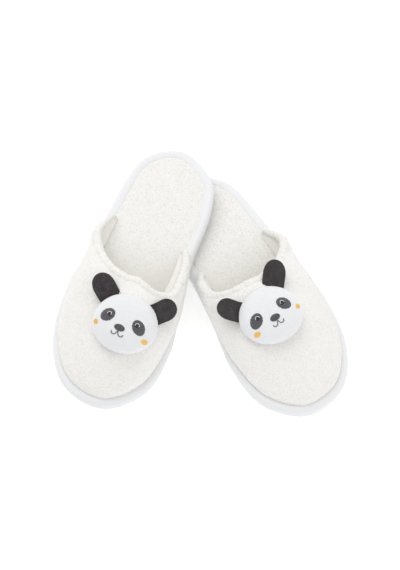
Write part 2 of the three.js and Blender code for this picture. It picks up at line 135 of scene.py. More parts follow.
floor_bm = bmesh.new()
bmesh.ops.create_grid(floor_bm, x_segments=1, y_segments=1, size=FLOOR_REACH)
floor_mesh = bpy.data.meshes.new("floor")
floor_bm.to_mesh(floor_mesh)
floor_bm.free()
floor = new_object("floor", floor_mesh)
floor_material, _, floor_shader = new_material("floor_white")
floor_shader.inputs["Base Color"].default_value = (FLOOR_GREY, FLOOR_GREY, FLOOR_GREY, 1)
floor_shader.inputs["Roughness"].default_value = FLOOR_ROUGHNESS
floor_shader.inputs["Specular IOR Level"].default_value = 0.0
floor_shader.inputs["Emission Color"].default_value = (1, 1, 1, 1)
floor_shader.inputs["Emission Strength"].default_value = FLOOR_GLOW
floor_mesh.materials.append(floor_material)

# %% [markdown]
# Each slipper is drawn in its own frame, in millimetres: +x towards the outer side of the foot, +y
# towards the heel, +z up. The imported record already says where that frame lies: the sole's rest mount
# gives its up direction, and the hinge that bends the sole runs along a known line across it. So the
# place, the turn and the tilt are read from the record and not typed in again.

# %% Where each slipper lies
MM = 0.001
SIDES = {"left": 1, "right": -1}
SOLE_WIDTH, SOLE_LENGTH = 97.0, 250.0
FLEX_HEIGHT = 9.35
FLEX_INNER = Vector((-0.38 * SOLE_WIDTH, 30, FLEX_HEIGHT))
FLEX_OUTER = Vector((0.47 * SOLE_WIDTH, 53, FLEX_HEIGHT))
FLEX_MIDDLE = (FLEX_INNER + FLEX_OUTER) / 2
FLEX_LINE = (FLEX_OUTER - FLEX_INNER).normalized()


def slipper_matrix(side):
    joint = joints[f"{side}_sole_flex"]
    up = -Vector(mounts[f"{side}_sole_rest"]["axis"]).normalized()
    across = Vector(joint["axis"]).normalized()
    if across.x * SIDES[side] < 0:
        across.negate()
    along = up.cross(across) * SIDES[side]
    x_axis = across * FLEX_LINE.x - along * FLEX_LINE.y
    y_axis = across * FLEX_LINE.y + along * FLEX_LINE.x
    matrix = Matrix((x_axis, y_axis, up)).transposed().to_4x4() @ Matrix.Scale(MM, 4)
    matrix.translation = Vector(joint["pos_m"]) - matrix.to_3x3() @ FLEX_MIDDLE
    return matrix


PLACES = {side: slipper_matrix(side) for side in SIDES}
for side in SIDES:
    print(side, "toe tip at", [round(1000 * x, 1) for x in PLACES[side] @ Vector((0, -SOLE_LENGTH / 2, 0))])


# %% [markdown]
# Cloth is a sheet, so nearly every piece here starts as a flat grid from create_grid and is then laid on
# its curved form: each grid point knows its two shares, 0 to 1, along and across the piece, and a placing
# rule turns them into a point of the slipper. Where the grid comes back on itself its doubles are merged,
# the open ends are filled, and the normals are recalculated before the mesh is put in the pair's frame.

# %% Grids laid on a form
def laid_grid(columns, rows, place):
    """A grid whose points are placed by place(along, across), both arrays of 0..1. place may also return a
    second array, which says how far the pile shows at each point, or, on an embroidered thread, its painted
    light and shade."""
    bm = bmesh.new()
    bm.loops.layers.uv.new("UVMap")
    bmesh.ops.create_grid(bm, x_segments=columns, y_segments=rows, size=0.5, calc_uvs=True)
    flat = np.array([vert.co[:2] for vert in bm.verts])
    shares = (flat - flat.min(0)) / np.ptp(flat, axis=0)
    placed = place(shares[:, 0], shares[:, 1])
    points, shown = placed if isinstance(placed, tuple) else (placed, np.ones(len(flat)))
    layer = bm.verts.layers.float.new("shown")
    for vert, point, show in zip(bm.verts, points, shown):
        vert.co = point
        vert[layer] = show
    return bm


def close_up(bm, merge=0.001):
    """Merges doubles, fills open ends and turns the faces outwards."""
    bmesh.ops.remove_doubles(bm, verts=bm.verts, dist=merge)
    open_edges = [edge for edge in bm.edges if edge.is_boundary]
    if open_edges:
        bmesh.ops.holes_fill(bm, edges=open_edges)
    bmesh.ops.recalc_face_normals(bm, faces=bm.faces)
    return bm


def new_piece(bm, name, side, material):
    """Puts a finished bmesh, drawn in a slipper's own frame, into the pair's frame as an object."""
    bmesh.ops.transform(bm, matrix=PLACES[side], verts=bm.verts)
    if PLACES[side].determinant() < 0:
        bmesh.ops.reverse_faces(bm, faces=bm.faces)
    mesh = bpy.data.meshes.new(name)
    bm.to_mesh(mesh)
    bm.free()
    mesh.shade_smooth()
    mesh.materials.append(material)
    return new_object(name, mesh)


def mesh_arrays(mesh):
    """The points and the normals of a mesh."""
    arrays = []
    for key in ("co", "normal"):
        values = np.empty(len(mesh.vertices) * 3, np.float32)
        mesh.vertices.foreach_get(key, values)
        arrays.append(values.reshape(-1, 3).astype(float))
    return arrays


def move_points(mesh, points):
    mesh.vertices.foreach_set("co", points.astype(np.float32).ravel())
    mesh.update()


def shown_on(mesh):
    """How far the pile shows at each point, or the painted light and shade along a thread, as laid_grid kept
    it.
    """
    values = np.empty(len(mesh.vertices), np.float32)
    mesh.attributes["shown"].data.foreach_get("value", values)
    return values


def keep_pile(mesh, values):
    """Keeps a value at each point for the material: the pile's height, lowered where shade is painted on the
    insole, or the painted light and shade along an embroidered thread.
    """
    mesh.attributes.new("pile", "FLOAT", "POINT").data.foreach_set("value", values.astype(np.float32))


def smoothstep(x, low=0.0, high=1.0):
    t = np.clip((x - low) / (high - low), 0, 1)
    return t * t * (3 - 2 * t)


def round_end(along, share):
    """A round end's width, 0 to 1, over a share of the length at both ends."""
    into = np.clip(1 - np.minimum(along, 1 - along) / share, 0, 1)
    return np.sqrt(np.clip(1 - into ** 2, 0, 1))


# %% [markdown]
# Terry cloth is thousands of small standing loops. Threads as separate objects would take millions of
# faces, so the cloth's own surface is raised instead: a cell pattern gives each loop a round head, a
# slower noise gives the pile its uneven lie, and the height is kept as an attribute, so that the material
# can make the gaps between loops a little darker and warmer, as light that bounces in cloth is.

# %% The pile of looped terry
LOOP_FALL = 1.25  # how soon a loop falls away from its middle
LOOP_MEAN = 0.35  # the share of a loop's height at which the cloth's own surface lies
FINE_LUMPS, FINE_LUMP_SCALE = 0.5, 2.7
UNSEEN_PILE = 0.6
SEEN = 0.01


def raise_loops(piece, loop, height, lumps, lump_size=9.0, painted_shade=None):
    """Raises loops of terry on a mesh. Sizes are in millimetres. The last argument says for a point, 0 to 1,
    how much painted shade darkens the loops there: more of the darker gap colour shows, and the loops' height
    stays the same."""
    mesh = piece.data
    points, normals = mesh_arrays(mesh)
    shown = shown_on(mesh)
    sample = points / (loop * MM)
    heads = np.zeros(len(points))
    swell = np.zeros(len(points))
    lumpy = points / (lump_size * MM)
    for i in np.flatnonzero(shown > SEEN):
        near = noise.voronoi(sample[i])[0]
        heads[i] = 1.0 - min(1.0, near[0] * LOOP_FALL) ** 2
        swell[i] = noise.noise(lumpy[i]) + FINE_LUMPS * noise.noise(lumpy[i] * FINE_LUMP_SCALE)
    rise = shown * (height * (heads - LOOP_MEAN) + lumps * swell)
    move_points(mesh, points + normals * (rise * MM)[:, None])
    # Painted shade on the insole: the stored loop height that the material turns into colour is lowered, so the
    # loops look darker there; the mesh is not moved by it.
    unshaded = 1 if painted_shade is None else 1 - painted_shade(points)
    keep_pile(mesh, np.where(shown > SEEN, heads * unshaded, UNSEEN_PILE))
    print(f"{piece.name}: {len(points)} points, loops of {loop} mm")


# %% [markdown]
# Finishes that several pieces share are node groups. Loop shade turns the pile's height into colour.
# Fine weave is the over-and-under of thin threads. Fibre fuzz is the unevenness of brushed cloth.
# The shader itself stays in each material.

# %% Shared shader effects
def new_group(name, sockets_in, sockets_out):
    group = bpy.data.node_groups.new(name, "ShaderNodeTree")
    for label, kind, value in sockets_in:
        socket = group.interface.new_socket(label, in_out="INPUT", socket_type=kind)
        socket.default_value = value
    for label, kind in sockets_out:
        group.interface.new_socket(label, in_out="OUTPUT", socket_type=kind)
    return group, group.nodes.new("NodeGroupInput"), group.nodes.new("NodeGroupOutput")


def feed(tree, socket, value):
    """Links a socket to another node's output, or gives it a plain value."""
    if isinstance(value, bpy.types.NodeSocket):
        tree.links.new(value, socket)
    elif value is not None:
        socket.default_value = value


def maths(tree, operation, first, second=None, third=None, clamp=False):
    node = tree.nodes.new("ShaderNodeMath")
    node.operation = operation
    node.use_clamp = clamp
    for slot, value in enumerate((first, second, third)):
        feed(tree, node.inputs[slot], value)
    return node.outputs[0]


def mixed(tree, share, first, second):
    node = tree.nodes.new("ShaderNodeMix")
    node.data_type = "RGBA"
    for slot, value in ((0, share), (6, first), (7, second)):
        feed(tree, node.inputs[slot], value)
    return node.outputs[2]


def coordinates(tree):
    return tree.nodes.new("ShaderNodeTexCoord").outputs["Object"]


def noise_at(tree, vector, scale, detail=2.0, roughness=0.5):
    node = tree.nodes.new("ShaderNodeTexNoise")
    for label, value in (("Vector", vector), ("Scale", scale), ("Detail", detail), ("Roughness", roughness)):
        feed(tree, node.inputs[label], value)
    return node.outputs["Fac"]


COLOUR, VALUE = "NodeSocketColor", "NodeSocketFloat"

loop_shade, group_in, group_out = new_group(
    "loop shade",
    [("Loop", COLOUR, (1, 1, 1, 1)), ("Gap", COLOUR, (0.5, 0.5, 0.5, 1)), ("Unevenness", VALUE, 0.1)],
    [("Color", COLOUR), ("Height", VALUE)],
)
pile_height = loop_shade.nodes.new("ShaderNodeAttribute")
pile_height.attribute_name = "pile"
where = coordinates(loop_shade)
fibre = noise_at(loop_shade, where, 2600.0, 2.0, 0.6)
patchy = noise_at(loop_shade, where, 55.0, 3.0)
lowered = maths(loop_shade, "SUBTRACT", pile_height.outputs["Fac"], 0.25)
depth = maths(loop_shade, "MULTIPLY_ADD", fibre, 0.5, lowered)
depth = maths(loop_shade, "POWER", maths(loop_shade, "MULTIPLY", depth, 1.0, clamp=True), 0.6)
tint = mixed(loop_shade, depth, group_in.outputs["Gap"], group_in.outputs["Loop"])
patch = maths(loop_shade, "SUBTRACT", 0.72, patchy, clamp=True)
dull = maths(loop_shade, "MULTIPLY", patch, group_in.outputs["Unevenness"])
loop_shade.links.new(mixed(loop_shade, dull, tint, group_in.outputs["Gap"]), group_out.inputs["Color"])
loop_shade.links.new(fibre, group_out.inputs["Height"])

fine_weave, group_in, group_out = new_group(
    "fine weave",
    [("Threads per metre", VALUE, 1400.0), ("Mix", VALUE, 0.5)],
    [("Height", VALUE), ("Shade", VALUE)],
)
split = fine_weave.nodes.new("ShaderNodeSeparateXYZ")
fine_weave.links.new(coordinates(fine_weave), split.inputs[0])
pace = maths(fine_weave, "MULTIPLY", group_in.outputs["Threads per metre"], math.pi)
warp, weft = (
    maths(fine_weave, "SINE", maths(fine_weave, "MULTIPLY", split.outputs[axis], pace)) for axis in "XY"
)
crossing = maths(fine_weave, "MULTIPLY_ADD", maths(fine_weave, "MULTIPLY", warp, weft), 0.25, 0.5)
slub = noise_at(fine_weave, coordinates(fine_weave), 900.0, 3.0)
height = maths(fine_weave, "ADD", maths(fine_weave, "MULTIPLY", crossing, group_in.outputs["Mix"]), slub)
fine_weave.links.new(height, group_out.inputs["Height"])
fine_weave.links.new(slub, group_out.inputs["Shade"])

fibre_fuzz, group_in, group_out = new_group(
    "fibre fuzz",
    [("Scale", VALUE, 1500.0), ("Dark", COLOUR, (0, 0, 0, 1)), ("Light", COLOUR, (1, 1, 1, 1))],
    [("Color", COLOUR), ("Height", VALUE)],
)
where = coordinates(fibre_fuzz)
hairs = noise_at(fibre_fuzz, where, group_in.outputs["Scale"], 4.0, 0.7)
clumps = noise_at(fibre_fuzz, where, 220.0, 2.0)
fine = maths(fibre_fuzz, "MULTIPLY", hairs, 0.7)
share = maths(fibre_fuzz, "ADD", fine, maths(fibre_fuzz, "MULTIPLY", clumps, 0.3))
share = maths(fibre_fuzz, "MULTIPLY_ADD", share, 3.0, -1.0, clamp=True)
fuzz_colour = mixed(fibre_fuzz, share, group_in.outputs["Dark"], group_in.outputs["Light"])
fibre_fuzz.links.new(fuzz_colour, group_out.inputs["Color"])
fibre_fuzz.links.new(hairs, group_out.inputs["Height"])

# %% [markdown]
# The materials themselves. All the whites differ: the terry is cream, the tape and the plush are cooler,
# and the lining is warmer. Sheen, the glow of cloth that is seen edge on, is a fixed number on each
# shader, and only colour and bump come from the groups.

# %% Materials of the cloths
def use_group(tree, group, **values):
    node = tree.nodes.new("ShaderNodeGroup")
    node.node_tree = group
    for label, value in values.items():
        node.inputs[label.replace("_", " ")].default_value = value
    return node


def bump(tree, shader, height, distance, strength=1.0):
    node = tree.nodes.new("ShaderNodeBump")
    node.inputs["Distance"].default_value = distance
    node.inputs["Strength"].default_value = strength
    tree.links.new(height, node.inputs["Height"])
    tree.links.new(node.outputs["Normal"], shader.inputs["Normal"])


def cloth_shader(shader, sheen, roughness=1.0):
    shader.inputs["Roughness"].default_value = roughness
    shader.inputs["Specular IOR Level"].default_value = 0.15
    shader.inputs["Sheen Weight"].default_value = sheen
    shader.inputs["Sheen Roughness"].default_value = 0.6


def terry(name, loop, gap, unevenness=0.12, sheen=0.3):
    material, tree, shader = new_material(name)
    cloth_shader(shader, sheen)
    shade = use_group(tree, loop_shade, Loop=(*loop, 1), Gap=(*gap, 1), Unevenness=unevenness)
    tree.links.new(shade.outputs["Color"], shader.inputs["Base Color"])
    bump(tree, shader, shade.outputs["Height"], 0.00035, 0.7)
    return material


def brushed(name, dark, light, scale=1500.0, sheen=0.3, distance=0.0002, strength=0.6):
    material, tree, shader = new_material(name)
    cloth_shader(shader, sheen)
    fuzz = use_group(tree, fibre_fuzz, Scale=scale, Dark=(*dark, 1), Light=(*light, 1))
    tree.links.new(fuzz.outputs["Color"], shader.inputs["Base Color"])
    bump(tree, shader, fuzz.outputs["Height"], distance, strength)
    return material


def woven(name, shaded, plain, threads=1400.0, mix=0.5, sheen=0.15, roughness=0.8):
    material, tree, shader = new_material(name)
    cloth_shader(shader, sheen, roughness)
    weave = use_group(tree, fine_weave, Threads_per_metre=threads, Mix=mix)
    colour = mixed(tree, weave.outputs["Shade"], (*shaded, 1), (*plain, 1))
    tree.links.new(colour, shader.inputs["Base Color"])
    bump(tree, shader, weave.outputs["Height"], 0.00012, 0.5)
    return material


upper_terry = terry("upper_terry", (0.925, 0.92, 0.90), (0.83, 0.81, 0.77))
insole_terry = terry("insole_terry", (0.905, 0.905, 0.89), (0.77, 0.745, 0.68), 0.1)
roll_terry = terry("roll_terry", (0.925, 0.915, 0.89), (0.80, 0.775, 0.715))
lining_cloth = brushed("lining_cloth", (0.87, 0.845, 0.79), (0.94, 0.925, 0.885), 1300.0, 0.2)
binding_cloth = woven("binding_cloth", (0.79, 0.795, 0.805), (0.85, 0.854, 0.862))
plush = brushed("plush", (0.765, 0.77, 0.79), (0.83, 0.835, 0.85), 1900.0, 0.35, 0.00012, 0.4)
felt = brushed("felt", (0.018, 0.015, 0.016), (0.070, 0.060, 0.063), 1200.0, 0.2, 0.0003, 0.9)
foam = brushed("foam", (0.80, 0.79, 0.76), (0.88, 0.87, 0.84), 2400.0, 0.0, 0.0001, 0.4)
sole_sheet = woven("sole_sheet", (0.74, 0.74, 0.72), (0.80, 0.80, 0.78), 500.0, 1.4, 0.0, 0.65)
white_thread = woven("white_thread", (0.86, 0.86, 0.86), (0.93, 0.93, 0.93), 3000.0)

# %% [markdown]
# The outline of the sole is one closed smooth curve through fourteen points, given as shares of the
# sole's width and length, the same ones that the CAD sole is drawn with. Everything on the sole is then
# a number of millimetres in from that outline.

# %% The sole's outline
OUTLINE = [
    (0.03, -0.5), (0.39, -0.45), (0.59, -0.3), (0.615, -0.1), (0.53, 0.06), (0.47, 0.235), (0.34, 0.435),
    (0.015, 0.5), (-0.3, 0.41), (-0.38, 0.275), (-0.345, 0.075), (-0.35, -0.1), (-0.37, -0.26),
    (-0.273, -0.415),
]


def smooth_curve(points, share, closed=False):
    """Points of the smooth curve through some points, at shares 0..1 of its spans."""
    p = np.asarray(points, float)
    spans = len(p) if closed else len(p) - 1
    if closed:
        q = np.vstack([p[-1:], p, p[:2]])
    else:
        q = np.vstack([2 * p[:1] - p[1:2], p, 2 * p[-1:] - p[-2:-1]])
    at = np.clip(np.asarray(share, float), 0, 1) * spans
    i = np.minimum(at.astype(int), spans - 1)
    w = (at - i)[:, None]
    before, start, end, after = q[i], q[i + 1], q[i + 2], q[i + 3]
    leave, arrive = (end - before) / 2, (after - start) / 2
    bend = 3 * (end - start) - 2 * leave - arrive
    twist = 2 * (start - end) + leave + arrive
    return start + w * (leave + w * (bend + w * twist))


def by_length(line, share):
    """Points and directions at shares of a dense polyline's length."""
    steps = np.linalg.norm(np.diff(line, axis=0), axis=1)
    run = np.concatenate([[0], np.cumsum(steps)])
    at = np.asarray(share) * run[-1]
    point = np.stack([np.interp(at, run, line[:, k]) for k in range(line.shape[1])], 1)
    heading = np.gradient(line, run, axis=0)
    along = np.stack([np.interp(at, run, heading[:, k]) for k in range(line.shape[1])], 1)
    return point, along / np.linalg.norm(along, axis=1, keepdims=True), run[-1]


outline_points = np.array(OUTLINE) * (SOLE_WIDTH, SOLE_LENGTH)
outline_line = smooth_curve(outline_points, np.linspace(0, 1, 4001), closed=True)
outline_length = by_length(outline_line, [0.0])[2]
print(f"the sole's outline is {outline_length:.0f} mm round")


def rim(share, inset):
    """Points of the outline moved in by inset, at shares of the way round."""
    point, along, _ = by_length(outline_line, np.mod(share, 1.0))
    return point + np.stack([-along[:, 1], along[:, 0]], 1) * np.reshape(inset, (-1, 1))


# %% [markdown]
# A sole layer is a flat pad with the outline's shape. The grid's lines run across the foot from edge to
# edge, closer together towards the toe and heel tips, and wrap under to make the lower face, so that the
# cloth on top has even squares for its loops.

# %% Pads with the sole's outline
OUTSOLE_TOP, MIDSOLE_BOTTOM, MIDSOLE_TOP, INSOLE_BOTTOM, INSOLE_RIM = 2.8, 3.1, 5.5, 5.8, 7.4
INSOLE_SINK, INSOLE_CROWN, INSOLE_DOME = 0.15, 1.15, 0.45
OUTSOLE_STEP = 1.1  # the outsole's edge lies this far up, to leave room for the folded binding


def across_the_foot(inset):
    """How far the sole reaches to each side, as a function of the way from toe to heel."""
    ring = rim(np.linspace(0, 1, 2880, endpoint=False), inset)
    toe, heel = ring[:, 1].argmin(), ring[:, 1].argmax()
    outer = np.roll(ring, -toe, axis=0)[: (heel - toe) % len(ring) + 1]
    inner = np.roll(ring[::-1], toe + 1, axis=0)[: (toe - heel) % len(ring) + 1]
    low, high = ring[toe, 1], ring[heel, 1]

    def sides(share):
        even = 0.6 * share + 0.4 * (1 - np.cos(np.pi * share)) / 2
        y = low + (high - low) * even
        return y, np.interp(y, inner[:, 1], inner[:, 0]), np.interp(y, outer[:, 1], outer[:, 0])

    return sides


def distance_in(points):
    """How far points lie in from the sole's outline."""
    ring = outline_line[::8]
    return np.concatenate([
        np.sqrt(((block[:, None, :] - ring[None]) ** 2).sum(2).min(1)) for block in np.array_split(points, 40)
    ])


def pad(columns, over, under, inset, top, bottom):
    """A pad between two heights. top and bottom are functions of the points and their distance in."""
    sides = across_the_foot(inset)
    rows = over + under

    def place(along, around):
        step = np.rint(around * rows)
        on_top = step <= over
        share = np.where(on_top, step / over, 1 - (step - over) / under)
        y, inner, outer = sides(along)
        flat = np.stack([inner + (outer - inner) * share, y], 1)
        deep = distance_in(flat)
        edge = (step % rows == 0) | (step == over)
        height = np.where(on_top, top(flat, deep), bottom(flat, deep))
        height = np.where(edge, (top(flat, deep) + bottom(flat, deep)) / 2, height)
        return np.column_stack([flat, height]), (on_top & ~edge).astype(float)

    return close_up(laid_grid(columns, rows, place))


def level(height):
    return lambda flat, deep: np.full(len(flat), height)


def insole_top(flat, deep):
    crown = INSOLE_CROWN * smoothstep(deep, 6.4, 10.5) + INSOLE_DOME * smoothstep(deep, 9, 24)
    return INSOLE_RIM - INSOLE_SINK + crown


def outsole_bottom(flat, deep):
    return OUTSOLE_STEP * (1 - smoothstep(deep, 6.9, 7.4))


# %% [markdown]
# The binding is a strip of white tape folded round the edge of all three layers and sewn through. Its
# section is drawn once as a closed smooth loop, in millimetres in from the outline and up from the
# floor, and carried round the sole. Where the edge curves tightly the tape has to ease itself in, and it
# shows as slow ripples, which a little noise along the strip gives it.

# %% The folded edge binding
BINDING_SECTION = [
    (8.5, 7.5), (8.35, 8.2), (7.55, 8.75), (6.75, 8.72), (5.9, 9.02), (4.4, 9.25), (2.9, 9.15), (1.5, 8.4),
    (0.55, 7.0), (0.12, 5.0), (0.2, 3.0), (0.8, 1.35), (1.9, 0.4), (3.6, 0.02), (5.4, 0.02), (6.6, 0.2),
    (6.7, 0.85), (5.4, 1.0), (2.6, 1.15), (1.45, 2.0), (1.2, 4.4), (1.5, 6.9), (3.2, 7.6), (6.2, 7.5),
]


RIPPLE_SCALE, FINE_RIPPLE_SCALE = 0.045, 3.1
EASE_IN, EASE_UP, FINE_EASE_UP, TAPE_SINK = 0.3, 0.16, 0.14, 0.2
BINDING_SEED = {"left": 3.0, "right": 11.0}


def binding_place(seed):
    def place(along, around):
        section = smooth_curve(BINDING_SECTION, around, closed=True)
        ring = rim(along, 0)
        here = np.column_stack([ring * RIPPLE_SCALE, np.full(len(ring), seed)])
        swell = np.array([noise.noise(p) for p in here])
        ripple = np.array([noise.noise(p * FINE_RIPPLE_SCALE) for p in here])
        top = smoothstep(section[:, 1], 6.0, 9.0)
        inset = section[:, 0] + EASE_IN * swell * smoothstep(section[:, 0], 5, 8)
        lift = top * (EASE_UP * swell + FINE_EASE_UP * ripple - TAPE_SINK)
        return np.column_stack([rim(along, inset), section[:, 1] + lift])

    return place


def stitches(name, side, line, up, length, gap, radius, material):
    """A row of short raised stitches along a line of points, each a small rounded bar of thread."""
    total = np.linalg.norm(np.diff(line, axis=0), axis=1).sum()
    count = int(total / (length + gap))
    centres, headings, _ = by_length(line, (np.arange(count) + 0.5) / count)
    bm = bmesh.new()
    for centre, heading in zip(centres, headings):
        x_axis = Vector(heading).normalized()
        side_axis = Vector(up).cross(x_axis).normalized()
        turn = Matrix((x_axis, side_axis, x_axis.cross(side_axis))).transposed().to_4x4()
        made = bmesh.ops.create_uvsphere(bm, u_segments=6, v_segments=5, radius=1.0)
        stretch = Matrix.Diagonal((radius, radius, length / 2, 1))
        lie = Matrix.Translation(centre) @ turn @ Matrix.Rotation(math.pi / 2, 4, "Y")
        bmesh.ops.transform(bm, matrix=lie @ stretch, verts=made["verts"])
    print(f"{name}: {count} stitches")
    return new_piece(bm, name, side, material)


# %% Make both soles
THROAT = {"left": -23.0, "right": -35.0}  # the middle of the foot opening's edge, along the sole
INSOLE_SHADE, INSOLE_SHADE_TO, INSOLE_SHADE_FROM = 0.85, 72, 20  # how strong the painted shade on the insole is, and where near the throat it fades in
LAYER_INSET, INSOLE_INSET = 1.3, 1.5
SEAM_INSET, SEAM_HEIGHT, SEAM_POINTS = 6.9, 8.62, 1200
STITCH, STITCH_GAP, STITCH_RADIUS = 2.6, 0.9, 0.24


def painted_shade_under_upper(side, points):
    """How much painted shade darkens the insole's pile near and under the upper, from nothing at the arch to
    most at the toes.
    """
    back = np.array(PLACES[side].inverted())
    y = points @ back[1, :3] + back[1, 3]
    return INSOLE_SHADE * smoothstep(-y, -THROAT[side] - INSOLE_SHADE_TO, -THROAT[side] - INSOLE_SHADE_FROM)


sole_pieces = {}
for side in SIDES:
    sole_pieces[side] = sole = {}
    for key, material, shape in (
        ("outsole", sole_sheet, (120, 40, 40, LAYER_INSET, level(OUTSOLE_TOP), outsole_bottom)),
        ("midsole", foam, (120, 30, 30, LAYER_INSET, level(MIDSOLE_TOP), level(MIDSOLE_BOTTOM))),
        ("insole", insole_terry, (390, 160, 12, INSOLE_INSET, insole_top, level(INSOLE_BOTTOM))),
    ):
        sole[key] = new_piece(pad(*shape), f"{side}_{key}", side, material)
    # The insole's pile gets painted shade near and under the upper.
    raise_loops(
        sole["insole"], loop=1.1, height=0.36, lumps=0.16, painted_shade=lambda points: painted_shade_under_upper(side, points)
    )
    binding_bm = close_up(laid_grid(640, 48, binding_place(BINDING_SEED[side])))
    sole["binding"] = new_piece(binding_bm, f"{side}_edge_binding", side, binding_cloth)
    seam = rim(np.linspace(0, 1, SEAM_POINTS, endpoint=False), SEAM_INSET)
    seam = np.column_stack([seam, np.full(SEAM_POINTS, SEAM_HEIGHT)])
    sole["sewing"] = stitches(
        f"{side}_binding_stitches", side, seam, (0, 0, 1), STITCH, STITCH_GAP, STITCH_RADIUS, white_thread
    )

# %% [markdown]
# The upper is one sheet of terry that stands on a seam just inside the binding and rises over the instep
# to the foot opening. It is drawn as the CAD upper is: nine stations round the opening say where the
# sheet's edge is and how it leaves its seam and its edge, and each section between the two is a Bezier
# curve. A slipper is then this surface at two shares: round the foot, and up from the seam.

# %% The upper's surface
UPPER_FOOT, INSTEP_RISE, UPPER_INSET = 7.7, 39.3, 8.9
MEDIAL_TIP, LATERAL_TIP = 22.0, 44.0
INNER_DIP = {"left": 0.0, "right": 8.0}
STATIONS = [
    # across, back, dip, rise, (low: out, up), (high: out, forward, down)
    (-0.285, 1.00, 0.0, 0.15, (0.3, 1.0), (0, 0, 1.2)),
    (-0.340, 0.62, 0.0, 0.42, (12, 9), (-4, 5, 7)),
    (-0.325, 0.16, 1.0, 0.70, (16, 14), (-10, 13, 2)),
    (-0.190, -0.01, 0.6, 0.90, (9, 15), (-8, 27, 1)),
    (-0.040, 0.00, 0.0, 1.00, (6, 14), (0, 36, 2)),
    (0.105, 0.05, 0.0, 0.94, (7, 15), (8, 27, 1)),
    (0.300, 0.24, 0.0, 0.79, (9, 16), (13, 15, 1)),
    (0.470, 0.62, 0.0, 0.50, (5, 9), (4, 5, 8)),
    (0.425, 1.00, 0.0, 0.15, (0.3, 1.0), (0, 0, 1.2)),
]


def seam_halves():
    """The two stretches of the seam, from the toe to the inner tip and from the toe to the outer tip."""
    ring = rim(np.linspace(0, 1, 1440, endpoint=False), UPPER_INSET)
    ring = np.roll(ring, -ring[:, 1].argmin(), axis=0)
    outer = ring[: np.argmax(ring[:, 1] >= LATERAL_TIP) + 1]
    back = np.vstack([ring[:1], ring[:0:-1]])
    inner = back[: np.argmax(back[:, 1] >= MEDIAL_TIP) + 1]
    return inner, outer


INNER_SEAM, OUTER_SEAM = seam_halves()


class UpperSurface:
    """The sheet from the seam, v = 0, to the foot opening's edge, v = 1. u runs from the inner wing's
    tip over the instep to the outer wing's tip."""

    def __init__(self, throat, inner_dip):
        tips = [MEDIAL_TIP if i < 4 else LATERAL_TIP for i in range(len(STATIONS))]
        self.edge = [
            (
                across * SOLE_WIDTH,
                throat + (tip - throat) * back - dip * inner_dip,
                UPPER_FOOT + rise * INSTEP_RISE,
            )
            for (across, back, dip, rise, _, _), tip in zip(STATIONS, tips)
        ]
        self.low = [station[4] for station in STATIONS]
        self.high = [(out, -forward, -down) for out, forward, down in (station[5] for station in STATIONS)]

    def at(self, u, v):
        u = np.clip(u, 0, 1)
        inner, inner_way, _ = by_length(INNER_SEAM, np.clip(1 - 2 * u, 0, 1))
        outer, outer_way, _ = by_length(OUTER_SEAM, np.clip(2 * u - 1, 0, 1))
        is_inner = (u < 0.5)[:, None]
        flat = np.where(is_inner, inner, outer)
        way = np.where(is_inner, -inner_way, outer_way)
        out = np.column_stack([way[:, 1], -way[:, 0], np.zeros(len(u))])
        foot = np.column_stack([flat, np.full(len(u), UPPER_FOOT)])
        spread = smooth_curve(self.low, u)
        top = smooth_curve(self.edge, u)
        foot_handle = foot + out * spread[:, :1] + np.column_stack([np.zeros((len(u), 2)), spread[:, 1]])
        top_handle = top + smooth_curve(self.high, u)
        w = np.reshape(v, (-1, 1))
        return ((1 - w) ** 3 * foot + 3 * w * (1 - w) ** 2 * foot_handle
                + 3 * w * w * (1 - w) * top_handle + w ** 3 * top)

    def normal(self, u, v, step=1e-3):
        du = self.at(np.minimum(u + step, 1), v) - self.at(np.maximum(u - step, 0), v)
        dv = self.at(u, np.minimum(v + step, 1)) - self.at(u, np.maximum(v - step, 0))
        n = np.cross(du, dv)
        return n / np.linalg.norm(n, axis=1, keepdims=True)


surfaces = {side: UpperSurface(THROAT[side], INNER_DIP[side]) for side in SIDES}

# %% [markdown]
# A sheet of cloth has two faces. The grid runs up the outer face with many lines, over the edge, and
# down the inner face with few, because nobody sees the loops there. The outer face is also puffed a
# little towards the opening, where the terry is turned over the padding of the rolled edge.

# %% Cloth sheets on the upper's surface
UPPER_THICKNESS = 2.0
LINING_HANG = {"left": 6.0, "right": 12.0}
LINING_DEPTHS = UPPER_THICKNESS + 0.2, UPPER_THICKNESS + 0.9
CREASE, CREASE_AT, CREASE_WIDTH = 0.25, 0.77, 0.03  # the hollow line below the puffed edge
HANG_AT, HANG_WIDTH = 0.2, 0.11  # where round the foot the lining hangs most


def cloth_sheet(
    surface, columns, over, under, outer_depth, inner_depth, puff=0.0, foot_drop=0.0, foot_swell=0.0, hang=0.0
):
    """A closed sheet between two depths below the surface, in millimetres. puff raises it towards the
    opening, foot_swell and foot_drop press it out and down over the binding, and hang lets it fall loose
    from the inner wing."""
    rim_steps = 2
    rows = over + under + 2 * rim_steps
    stops = [0, over, over + rim_steps, over + rim_steps + under, rows]

    def place(along, around):
        step = np.rint(around * rows)
        v = np.interp(step, stops, [0, 1, 1, 0, 0])
        depth = np.interp(step, stops, [outer_depth, outer_depth, inner_depth, inner_depth, outer_depth])
        on_face = step <= over
        normal = surface.normal(along, v)
        swell = puff * smoothstep(v, 0.60, 0.96) * smoothstep(np.minimum(along, 1 - along), 0.02, 0.14)
        crease = CREASE * np.exp(-(((v - CREASE_AT) / CREASE_WIDTH) ** 2)) * (puff > 0)
        swell += foot_swell * smoothstep(v, 0, 0.03) * (1 - smoothstep(v, 0.07, 0.30))
        loose = hang * (1 - v) ** 1.3 * smoothstep(v, 0, 0.05)
        loose = loose * np.exp(-(((along - HANG_AT) / HANG_WIDTH) ** 2))
        points = surface.at(along, v) - normal * (depth + loose - on_face * (swell - crease))[:, None]
        points[:, 2] -= foot_drop * (1 - smoothstep(v, 0, 0.06))
        tips = smoothstep(np.minimum(along, 1 - along), 0, 0.01)
        return points, on_face * tips

    return close_up(laid_grid(columns, rows, place))


